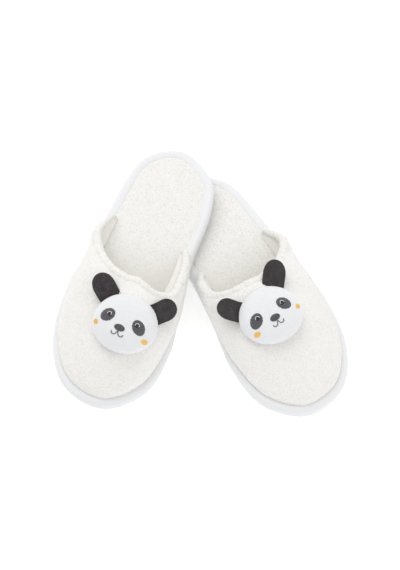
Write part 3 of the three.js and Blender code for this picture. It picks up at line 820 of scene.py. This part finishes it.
def sheet_area(surface, columns=200, rows=100):
    """The area between the seam and the opening, in square millimetres."""
    u, v = np.meshgrid(np.linspace(0, 1, columns), np.linspace(0, 1, rows), indexing="ij")
    points = surface.at(u.ravel(), v.ravel()).reshape(columns, rows, 3)
    faces = np.cross(np.diff(points, axis=0)[:, :-1], np.diff(points, axis=1)[:-1])
    return np.linalg.norm(faces, axis=2).sum()


upper_pieces = {}
for side in SIDES:
    surface = surfaces[side]
    cloth = new_piece(
        cloth_sheet(surface, 520, 150, 8, 0.0, UPPER_THICKNESS, puff=2.3, foot_drop=0.5, foot_swell=2.4),
        f"{side}_upper_cloth", side, upper_terry,
    )
    raise_loops(cloth, loop=1.0, height=0.32, lumps=0.25, lump_size=11.0)
    lining = new_piece(
        cloth_sheet(surface, 150, 40, 40, *LINING_DEPTHS, hang=LINING_HANG[side]),
        f"{side}_lining_cloth", side, lining_cloth,
    )
    upper_pieces[side] = {"cloth": cloth, "lining": lining}

# %% [markdown]
# The foot opening is finished with a roll: the terry is folded over a soft filling. It is a tube that
# follows the opening's edge, thickest over the instep, thinner towards the wings, and turned down to the
# sole at both tips. Its loops are longer, because the fold opens the pile.

# %% The rolled edge of the foot opening
ROLL_RADIUS, ROLL_TIP_RADIUS, ROLL_TAPER = 3.9, 2.4, 0.16
ROLL_END = 0.028  # how far past each wing tip it goes on, as a share of the way round
ROLL_OVAL, ROLL_UNEVEN, ROLL_UNEVEN_SCALE, ROLL_CAP = 1.06, 0.07, 26, 0.012
ROLL_SEED = {"left": 2.0, "right": 7.0}
EDGE = 0.995  # the share of the way up at which the opening's normal is taken


def roll_centre(surface, u):
    """The roll's middle line. Past both wing tips it turns down towards the sole."""
    inside = np.clip(u, 0, 1)
    point = surface.at(inside, np.ones(len(u)))
    normal = surface.normal(inside, np.full(len(u), EDGE))
    centre = point - normal * (UPPER_THICKNESS / 2)
    past = np.maximum(-u, u - 1) / ROLL_END
    foot = surface.at(inside, np.zeros(len(u)))
    down = np.where(past > 0, past, 0)[:, None]
    return centre + (foot - point) * down * 0.9


def roll_place(surface, seed):
    def place(along, around):
        u = -ROLL_END + (1 + 2 * ROLL_END) * along
        step = 0.004
        ahead, behind = np.minimum(u + step, 1 + ROLL_END), np.maximum(u - step, -ROLL_END)
        way = roll_centre(surface, ahead) - roll_centre(surface, behind)
        way /= np.linalg.norm(way, axis=1, keepdims=True)
        out = surface.normal(np.clip(u, 1 - EDGE, EDGE), np.full(len(u), EDGE))
        side_way = np.cross(out, way)
        side_way /= np.linalg.norm(side_way, axis=1, keepdims=True)
        out = np.cross(way, side_way)
        thick = smoothstep(np.minimum(u, 1 - u), 0, ROLL_TAPER)
        radius = ROLL_TIP_RADIUS + (ROLL_RADIUS - ROLL_TIP_RADIUS) * thick
        soft = np.array([noise.noise((x * ROLL_UNEVEN_SCALE, seed, 0.0)) for x in u])
        reach = radius * (1 + ROLL_UNEVEN * soft) * round_end(along, ROLL_CAP)
        turn = 2 * np.pi * around
        spoke = side_way * np.cos(turn)[:, None] * ROLL_OVAL + out * np.sin(turn)[:, None]
        return roll_centre(surface, u) + spoke * reach[:, None]

    return place


for side in SIDES:
    roll = new_piece(
        close_up(laid_grid(430, 30, roll_place(surfaces[side], ROLL_SEED[side])), 0.01),
        f"{side}_throat_roll", side, roll_terry,
    )
    raise_loops(roll, loop=1.4, height=0.7, lumps=0.45, lump_size=6.0)
    upper_pieces[side]["roll"] = roll

# %% [markdown]
# The head sits on the instep. Its frame is found as the CAD finds it: the point of the surface that far
# in front of the throat, the surface's own normal, and a small turn. From there a is towards the outer
# side, b is towards the top of the head, and n is up out of the plush.

# %% The head's place on the instep
HEAD_RADIUS, HEAD_RISE, HEAD_HEIGHT, HEAD_BACK = 25.8, 0.91, 12.0, 1.5
HEAD_SQUARENESS, HEAD_TURN, CLEARANCE = 2.4, 8.0, 0.3
HEAD_ACROSS = {"left": 0.513, "right": 0.495}
HEAD_BEHIND = {"left": 31.0, "right": 34.5}
SEAT_ACROSS, SEAT_ALONG = 95.0, 260.0  # the radii of the instep under the head
SEAT_STEPS = 4001


def sag(a, b):
    """How far the head's back bends down to follow the instep."""
    return -(a * a) / (2 * SEAT_ACROSS) - (b * b) / (2 * SEAT_ALONG)


def head_frame(side):
    surface, throat = surfaces[side], THROAT[side]
    shares = np.linspace(0, 1, SEAT_STEPS)
    line = surface.at(np.full(SEAT_STEPS, HEAD_ACROSS[side]), shares)
    share = shares[np.argmax(line[:, 1] >= throat - HEAD_BEHIND[side])]
    across, here = np.array([HEAD_ACROSS[side]]), np.array([share])
    n = Vector(surface.normal(across, here)[0])
    seat = Vector(surface.at(across, here)[0])
    heelward = (Vector(surface.at(across, here + 0.05)[0]) - seat).normalized()
    b = Matrix.Rotation(math.radians(HEAD_TURN), 3, n) @ heelward
    a = b.cross(n).normalized()
    u, v = (grid.ravel() for grid in np.meshgrid(np.linspace(0, 1, 41), np.linspace(0, 1, 41)))
    offset = surface.at(u, v) - np.array(seat)
    x, y, z = offset @ np.array(a), offset @ np.array(b), offset @ np.array(n)
    under = np.hypot(x, y / HEAD_RISE) < HEAD_RADIUS
    lift = max(0.0, (z - sag(x, y))[under].max()) + CLEARANCE
    return np.array(seat + n * lift), np.array([a, b, n])


head_frames = {side: head_frame(side) for side in SIDES}


def on_head(side, a, b, h):
    seat, axes = head_frames[side]
    return seat + np.column_stack([a, b, h]) @ axes


def dome(a, b, radius=HEAD_RADIUS, height=HEAD_HEIGHT):
    share = np.minimum(np.hypot(a, b / HEAD_RISE) / radius, 1)
    bulge = height * (1 - share ** HEAD_SQUARENESS) ** (1 / HEAD_SQUARENESS)
    return HEAD_BACK + bulge + sag(a, b) * (1 - 0.75 * bulge / height)


for side in SIDES:
    print(side, "head sits at", [round(1000 * x, 1) for x in PLACES[side] @ Vector(head_frames[side][0])])

# %% [markdown]
# The head is two rounds of short plush sewn together and stuffed, so its form should come from pressure
# and not from a formula alone. A slightly small form is remeshed into an even cloth, blown up for twenty
# frames with no gravity, and no point may travel more than a cap. The result is applied, smoothed once
# more, and pinched at its sewn rim with small puckers.

# %% Stuff the head with a cloth simulation
SWELL_CAP, SHRINK, PLUSH_OVER = 1.1, 0.9, 0.2  # millimetres
PRESSURE, PRESSURE_FRAMES, VOXEL = 4.0, 20, 0.0016
HEAD_LINES = 64


def disc_to_round(u, v):
    """Carries a square of shares to a disc of radius one with even cells."""
    x, y = 2 * u - 1, 2 * v - 1
    return x * np.sqrt(1 - y * y / 2), y * np.sqrt(1 - x * x / 2)


def head_form(side, shrink):
    """The two rounds of plush before stuffing: a domed face and a saddle back, joined at the rim."""
    radius = HEAD_RADIUS + PLUSH_OVER
    pulled_in = 0.45 * shrink

    def one_round(height):
        def place(u, v):
            x, y = disc_to_round(u, v)
            a, b = x * radius, y * radius * HEAD_RISE
            return on_head(side, a, b, height(a, b, np.hypot(x, y)))

        return laid_grid(HEAD_LINES, HEAD_LINES, place)

    def face(a, b, share):
        return dome(a, b, radius, HEAD_HEIGHT - shrink)

    def back(a, b, share):
        return sag(a, b) + pulled_in + (HEAD_BACK - pulled_in) * smoothstep(share, 0.8, 1.0)

    bm, lower = one_round(face), one_round(back)
    spare = bpy.data.meshes.new("spare")
    lower.to_mesh(spare)
    lower.free()
    bm.from_mesh(spare)
    bpy.data.meshes.remove(spare)
    return close_up(bm, 0.05)


def apply_modifiers(piece):
    depsgraph = bpy.context.evaluated_depsgraph_get()
    depsgraph.update()
    made = bpy.data.meshes.new_from_object(piece.evaluated_get(depsgraph), depsgraph=depsgraph)
    old = piece.data
    piece.modifiers.clear()
    piece.data = made
    bpy.data.meshes.remove(old)
    piece.data.name = piece.name
    piece.data.shade_smooth()


def stuff(piece, cap=SWELL_CAP * MM):
    """Gives the head an even mesh, blows it up under pressure and settles it."""
    remesh = piece.modifiers.new("even cloth", "REMESH")
    remesh.mode = "VOXEL"
    remesh.voxel_size = VOXEL
    apply_modifiers(piece)
    before, _ = mesh_arrays(piece.data)
    scene = bpy.context.scene
    cloth = piece.modifiers.new("plush under pressure", "CLOTH")
    cloth.settings.use_pressure = True
    cloth.settings.uniform_pressure_force = PRESSURE
    cloth.settings.effector_weights.gravity = 0.0
    cloth.settings.quality = 5
    cloth.point_cache.frame_start, cloth.point_cache.frame_end = 1, PRESSURE_FRAMES
    for step in range(1, PRESSURE_FRAMES + 1):
        scene.frame_set(step)
    depsgraph = bpy.context.evaluated_depsgraph_get()
    blown = piece.evaluated_get(depsgraph).to_mesh()
    after, _ = mesh_arrays(blown)
    piece.modifiers.clear()
    scene.frame_set(1)
    move = after - before
    length = np.linalg.norm(move, axis=1, keepdims=True)
    move *= np.minimum(1, cap / np.maximum(length, 1e-9))
    move_points(piece.data, before + move)
    moved, most = 1000 * length.max(), 1000 * cap
    print(f"{piece.name}: pressure moved the plush by up to {moved:.1f} mm, capped at {most:.1f}")
    smooth = piece.modifiers.new("settle", "SMOOTH")
    smooth.factor, smooth.iterations = 0.5, 3
    finer = piece.modifiers.new("finer", "SUBSURF")
    finer.levels = finer.render_levels = 1
    apply_modifiers(piece)


PUCKER, PUCKER_BAND, PUCKERS = 0.45, 1.6, 58
PLUSH_LUMPS, PLUSH_LUMP_SCALE = 0.25, 120


def pucker_rim(piece, side):
    """Draws the plush in at its sewn rim: a shallow groove with small gathers."""
    points, normals = mesh_arrays(piece.data)
    inverse = np.array(PLACES[side].inverted())
    local = points @ inverse[:3, :3].T + inverse[:3, 3]
    seat, axes = head_frames[side]
    flat = (local - seat) @ axes.T
    reach = np.hypot(flat[:, 0], flat[:, 1] / HEAD_RISE) / HEAD_RADIUS
    turn = np.arctan2(flat[:, 1], flat[:, 0])
    over_seam = flat[:, 2] - sag(flat[:, 0], flat[:, 1]) - HEAD_BACK
    near = np.exp(-((over_seam / PUCKER_BAND) ** 2)) * smoothstep(reach, 0.8, 0.95)
    gather = 0.5 + 0.5 * np.cos(PUCKERS * turn + 3 * np.sin(5 * turn))
    lumps = np.array([noise.noise(p * PLUSH_LUMP_SCALE) for p in points])
    move = -PUCKER * near * (0.5 + 0.5 * gather) + PLUSH_LUMPS * lumps
    move_points(piece.data, points + normals * (move * MM)[:, None])


heads, head_trees = {}, {}
for side in SIDES:
    head = new_piece(head_form(side, SHRINK), f"{side}_head", side, plush)
    stuff(head)
    pucker_rim(head, side)
    heads[side] = head
    co, _ = mesh_arrays(head.data)
    corners = [tuple(polygon.vertices) for polygon in head.data.polygons]
    head_trees[side] = BVHTree.FromPolygons([Vector(p) for p in co], corners)
    print(f"{side} head: {len(co)} points")

# %% [markdown]
# The face is machine embroidery: satin stitch, where each thread lies beside the last right across the
# spot and dives into the plush at both ends. A spot is a grid with four lines to each thread. Its points
# are dropped on the stuffed head along n, and every thread is raised into a half round. The ends of the
# threads are never quite level, so each gets its own small length.

# %% Satin stitch on the plush
DROP_FROM = 40.0  # the height above the seat from which points are dropped on the head
THREAD_PITCH, LINES_PER_THREAD, SPOT_LINES = 0.42, 4, 18
ROOTED, SKIRT = 0.25, 0.8  # how deep a stitch starts in the plush, and how far its rim goes down


def head_height(side, a, b):
    """How high the stuffed head's surface is at points of the head's frame, in millimetres."""
    matrix = PLACES[side]
    seat, axes = head_frames[side]
    down = (matrix.to_3x3() @ Vector(-axes[2])).normalized()
    start = on_head(side, a, b, np.full(len(a), DROP_FROM))
    heights = np.empty(len(a))
    for i, point in enumerate(start):
        hit = head_trees[side].ray_cast(matrix @ Vector(point), down)
        heights[i] = DROP_FROM - hit[3] / MM if hit[0] is not None else dome(a[i], b[i])
    return heights


def embroidery_thread(name, dark, light):
    material, tree, shader = new_material(name)
    cloth_shader(shader, 0.1, 0.45)
    shader.inputs["Specular IOR Level"].default_value = 0.35
    # The colour goes from dark to light with the stored value: painted shade where a thread dips beside the
    # next or on its underside, painted light on its crest or top, and in satin stitch a random tone for each
    # thread as well.
    thread = tree.nodes.new("ShaderNodeAttribute")
    thread.attribute_name = "pile"
    grain = noise_at(tree, coordinates(tree), 2600.0, 2.0)
    share = maths(tree, "MULTIPLY", thread.outputs["Fac"], maths(tree, "ADD", grain, 0.45), clamp=True)
    tree.links.new(mixed(tree, share, (*dark, 1), (*light, 1)), shader.inputs["Base Color"])
    bump(tree, shader, grain, 0.0001, 0.5)
    return material


grey_thread = embroidery_thread("grey_thread", (0.045, 0.045, 0.052), (0.155, 0.155, 0.17))
black_thread = embroidery_thread("black_thread", (0.010, 0.010, 0.012), (0.050, 0.050, 0.056))
glint_thread = embroidery_thread("glint_thread", (0.45, 0.46, 0.48), (0.80, 0.81, 0.84))
cheek_thread = embroidery_thread("cheek_thread", (0.80, 0.44, 0.08), (0.97, 0.68, 0.20))


def satin_spot(name, side, at, size, turn, material, seed, lift=0.25, rise=0.45):
    """An ellipse of satin stitch, with turn as the ellipse's own angle."""
    rng = np.random.default_rng(seed)
    threads = max(6, int(2 * size[0] / THREAD_PITCH))
    uneven = rng.uniform(0.93, 1.05, threads + 1)
    shade = rng.uniform(0.55, 1.0, threads + 1)

    def place(across, along):
        x = 2 * across - 1
        thread = np.minimum((across * threads).astype(int), threads)
        phase = across * threads - np.floor(across * threads)
        crest = np.sin(np.pi * phase)
        half = np.sqrt(np.clip(1 - x * x, 0.02, 1)) * uneven[thread]
        y = (2 * along - 1) * half
        p, q = x * size[0], y * size[1]
        a = at[0] + p * math.cos(turn) - q * math.sin(turn)
        b = at[1] + p * math.sin(turn) + q * math.cos(turn)
        dive = 1 - np.abs(2 * along - 1) ** 5
        shoulder = np.sqrt(np.clip(1 - np.abs(x) ** 6, 0, 1))
        raised = (lift + ROOTED + rise * (0.45 + 0.55 * crest)) * dive * (0.35 + 0.65 * shoulder)
        # The second value is the painted light and shade of the stitch: dark where threads meet, light on each
        # crest, times a random tone for each thread.
        return on_head(side, a, b, head_height(side, a, b) - ROOTED + raised), crest * shade[thread]

    bm = laid_grid(threads * LINES_PER_THREAD, SPOT_LINES, place)
    bmesh.ops.recalc_face_normals(bm, faces=bm.faces)
    skirt = bmesh.ops.extrude_edge_only(bm, edges=[edge for edge in bm.edges if edge.is_boundary])
    lowered = [item for item in skirt["geom"] if isinstance(item, bmesh.types.BMVert)]
    bmesh.ops.translate(bm, verts=lowered, vec=Vector(-head_frames[side][1][2]) * SKIRT)
    bmesh.ops.holes_fill(bm, edges=[edge for edge in bm.edges if edge.is_boundary])
    bmesh.ops.recalc_face_normals(bm, faces=bm.faces)
    piece = new_piece(bm, name, side, material)
    keep_pile(piece.data, shown_on(piece.data))
    return piece


THREAD_SIDES, THREAD_TWIST, THREAD_CAP = 8, 1.3, 0.03


def thread_line(name, side, path, radius, material, lift=0.1):
    """One raised thread along a path on the head, thick and thin as its stitches go."""
    samples = 30 * (len(path) - 1)
    line = smooth_curve(path, np.linspace(0, 1, samples))

    def place(along, around):
        point, way, total = by_length(line, along)
        swell = 0.82 + 0.18 * np.abs(np.sin(np.pi * along * total / THREAD_TWIST))
        end = round_end(along, THREAD_CAP)
        turn = 2 * np.pi * around
        reach = radius * swell * end * np.cos(turn)
        a, b = point[:, 0] - way[:, 1] * reach, point[:, 1] + way[:, 0] * reach
        height = head_height(side, point[:, 0], point[:, 1]) + lift + radius * swell * end * np.sin(turn)
        # The second value is painted light and shade: lighter on the thread's top, darker on its underside.
        return on_head(side, a, b, height), 0.5 + 0.5 * np.sin(turn) * swell

    piece = new_piece(close_up(laid_grid(samples, THREAD_SIDES, place), 0.005), name, side, material)
    keep_pile(piece.data, shown_on(piece.data))
    return piece


def arc(centre, radius, start, end, count=9):
    turns = np.radians(np.linspace(start, end, count))
    return [(centre[0] + radius * math.cos(t), centre[1] + radius * math.sin(t)) for t in turns]


# %% Embroider both faces
EYE_TILT = math.radians(45)
EYE_PATCH = {"outer": (6.0, 5.4), "inner": (6.2, 5.0)}
MOUTH = [(-5.0, -8.9), (-4.1, -10.7), (-1.6, -10.6), (0, -8.0), (1.6, -10.6), (4.1, -10.7), (5.0, -8.9)]
FACE_SHIFT = {"left": (-2.6, -0.8), "right": (0.0, -1.2)}
CHEEKS = {
    "left": {"outer": (19.6, -7.0), "inner": (-20.4, -8.2)},
    "right": {"outer": (20.2, -8.2), "inner": (-20.9, -7.6)},
}
PUPIL, GLINT, CHEEK, NOSE = (2.1, 2.1), 1.6, (2.4, 2.1), (4.3, 2.9)
GLINT_RADIUS, MOUTH_RADIUS = 0.28, 0.42
face_pieces = {}
for side in SIDES:
    made = {}
    across, up = FACE_SHIFT[side]
    for hand, sign in (("outer", 1), ("inner", -1)):
        eye, pupil = (13.0 * sign + across, 1.0 + up), (11.8 * sign + across, 1.9 + up)
        made[f"eye_patch_{hand}"] = satin_spot(
            f"{side}_eye_patch_{hand}", side, eye, EYE_PATCH[hand], -EYE_TILT * sign, grey_thread, seed=5 + sign
        )
        made[f"pupil_{hand}"] = satin_spot(
            f"{side}_pupil_{hand}", side, pupil, PUPIL, 0.4 * sign, black_thread,
            lift=0.85, rise=0.4, seed=9 + sign,
        )
        made[f"glint_{hand}"] = thread_line(
            f"{side}_glint_{hand}", side, arc(pupil, GLINT, -20, 200), GLINT_RADIUS, glint_thread, lift=1.3
        )
        made[f"cheek_{hand}"] = satin_spot(
            f"{side}_cheek_{hand}", side, CHEEKS[side][hand], CHEEK, 0.5 * sign, cheek_thread, seed=13 + sign
        )
    made["nose"] = satin_spot(
        f"{side}_nose", side, (across, -4.9 + up), NOSE, 0.0, grey_thread, rise=0.5, seed=21
    )
    mouth = [(a + across, b + up) for a, b in MOUTH]
    made["mouth"] = thread_line(f"{side}_mouth", side, mouth, MOUTH_RADIUS, grey_thread)
    face_pieces[side] = made

# %% [markdown]
# The ears are tabs of black felt with round ends. Each leaves from under the head's rim and lies up over
# the rolled edge. Felt is cut from a thick sheet, so the tab keeps its thickness to the very edge, and
# its cut edge is fuzzy. It is a grid with a round end, thickened, with the edge softened by noise.

# %% Felt ears
EAR_WIDTH, EAR_ROOT_WIDTH, EAR_THICKNESS, EAR_LIFT, EAR_TUCK = 17.2, 16.6, 1.6, 3.6, 3.0
EAR_OVER_SEAT, EAR_BOW, EAR_CURL = 0.35, 0.35, 0.9
EAR_FACE_ROWS, EAR_RIM_ROWS = 14, 4
EAR_ROWS = 2 * (EAR_FACE_ROWS + EAR_RIM_ROWS)
FELT_FUZZ = 0.13
EAR_LENGTH = {"left": {"outer": 22.5, "inner": 17.0}, "right": {"outer": 20.5, "inner": 16.5}}
EAR_SPREAD = {"left": {"outer": 42, "inner": -47}, "right": {"outer": 54, "inner": -46}}


def ear_place(side, spread, length):
    turn = math.radians(90 - spread)
    reach = HEAD_RADIUS * HEAD_RISE / math.hypot(HEAD_RISE * math.cos(turn), math.sin(turn)) + CLEARANCE
    root = reach * math.cos(turn), reach * math.sin(turn)
    half = EAR_WIDTH / 2
    far_edge = EAR_FACE_ROWS + EAR_RIM_ROWS
    corners = [0, EAR_FACE_ROWS, far_edge, EAR_FACE_ROWS + far_edge, EAR_ROWS]

    def place(along, around):
        s = -EAR_TUCK + (length + EAR_TUCK) * np.sin(np.pi / 2 * along)
        past = np.clip((s - 0.42 * length) / (0.58 * length), 0, 1)
        waist = EAR_ROOT_WIDTH / EAR_WIDTH
        waist += (1 - waist) * smoothstep(s, 0, 0.5 * length)
        width = half * (1 - past ** 2.2) ** 0.5 * waist
        step = np.rint(around * EAR_ROWS)
        k = np.interp(step, corners, [-1, 1, 1, -1, -1])
        bow = np.interp(step, [corners[1], corners[1] + EAR_RIM_ROWS / 2, corners[2]], [0, 1, 0])
        bow = bow - np.interp(step, [corners[3], corners[3] + EAR_RIM_ROWS / 2, corners[4]], [0, 1, 0])
        top = np.interp(step, corners, [1, 1, 0, 0, 1])
        across = k * width + bow * EAR_BOW
        a = root[0] + s * math.cos(turn) - across * math.sin(turn)
        b = root[1] + s * math.sin(turn) + across * math.cos(turn)
        share = np.clip(s / length, 0, 1)
        curl = EAR_CURL * (across / half) ** 2 * share
        lift = sag(*root) + EAR_OVER_SEAT + EAR_LIFT * np.sin(np.pi / 2 * share) + curl
        end = smoothstep(1 - along, 0, 0.02)
        height = lift + EAR_THICKNESS * (0.5 + (top - 0.5) * (0.35 + 0.65 * end))
        return on_head(side, a, b, height)

    return place, root, turn


ear_pieces, ear_roots = {}, {}
for side in SIDES:
    for hand, spread in EAR_SPREAD[side].items():
        place, root, turn = ear_place(side, spread, EAR_LENGTH[side][hand])
        bm = close_up(laid_grid(44, EAR_ROWS, place), 0.02)
        bmesh.ops.subdivide_edges(bm, edges=bm.edges, cuts=1, use_grid_fill=True)
        ear = new_piece(bm, f"{side}_ear_{hand}_felt", side, felt)
        points, normals = mesh_arrays(ear.data)
        fuzz = np.array([noise.noise(p * 900) + 0.6 * noise.noise(p * 2300) for p in points])
        move_points(ear.data, points + normals * (FELT_FUZZ * fuzz * MM)[:, None])
        ear_pieces[side, hand] = ear
        ear_roots[side, hand] = (root, turn)

# %% [markdown]
# Now the upper's pieces and the head are tied to the bodies of the CAD model, and the CAD parts that the new
# pieces stand for are hidden. The layers of the sole and the felt ears, which are sewn under the head's rim,
# stay where they were drawn. The upper, its roll and the head ride on the front part.


def across_flex(piece):
    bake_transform(piece)


for side in SIDES:
    sole = sole_pieces[side]
    for key, nodes, slot in (
        ("outsole", ["outsole"], "outsole"), ("midsole", ["midsole"], "midsole"),
        ("insole", ["insole"], "insole_terry"), ("binding", ["edge_tape"], "edge_tape"),
        ("sewing", [], "edge_tape"),
    ):
        across_flex(sole[key])
        for node in nodes:
            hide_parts(f"{side}_{node}_front", f"{side}_{node}_heel")

    made = upper_pieces[side]
    front = f"{side}_front_part"
    for key, node, slot in (
        ("cloth", "upper", "upper_terry"), ("lining", "upper_lining", "lining"),
        ("roll", "throat_hem", "upper_terry"),
    ):
        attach(made[key], front)
        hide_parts(f"{side}_{node}")
    cut = sheet_area(surfaces[side]) * MM * MM

    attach(heads[side], front)
    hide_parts(f"{side}_head_back", f"{side}_head_face", f"{side}_head_stuffing")
    for key, piece in face_pieces[side].items():
        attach(piece, front)
        if not key.startswith("glint"):
            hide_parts(f"{side}_{key}")

    for hand in ("outer", "inner"):
        ear = ear_pieces[side, hand]
        root, turn = ear_roots[side, hand]
        height = sag(*root) + EAR_OVER_SEAT + EAR_THICKNESS
        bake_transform(ear)
        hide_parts(f"{side}_ear_{hand}")
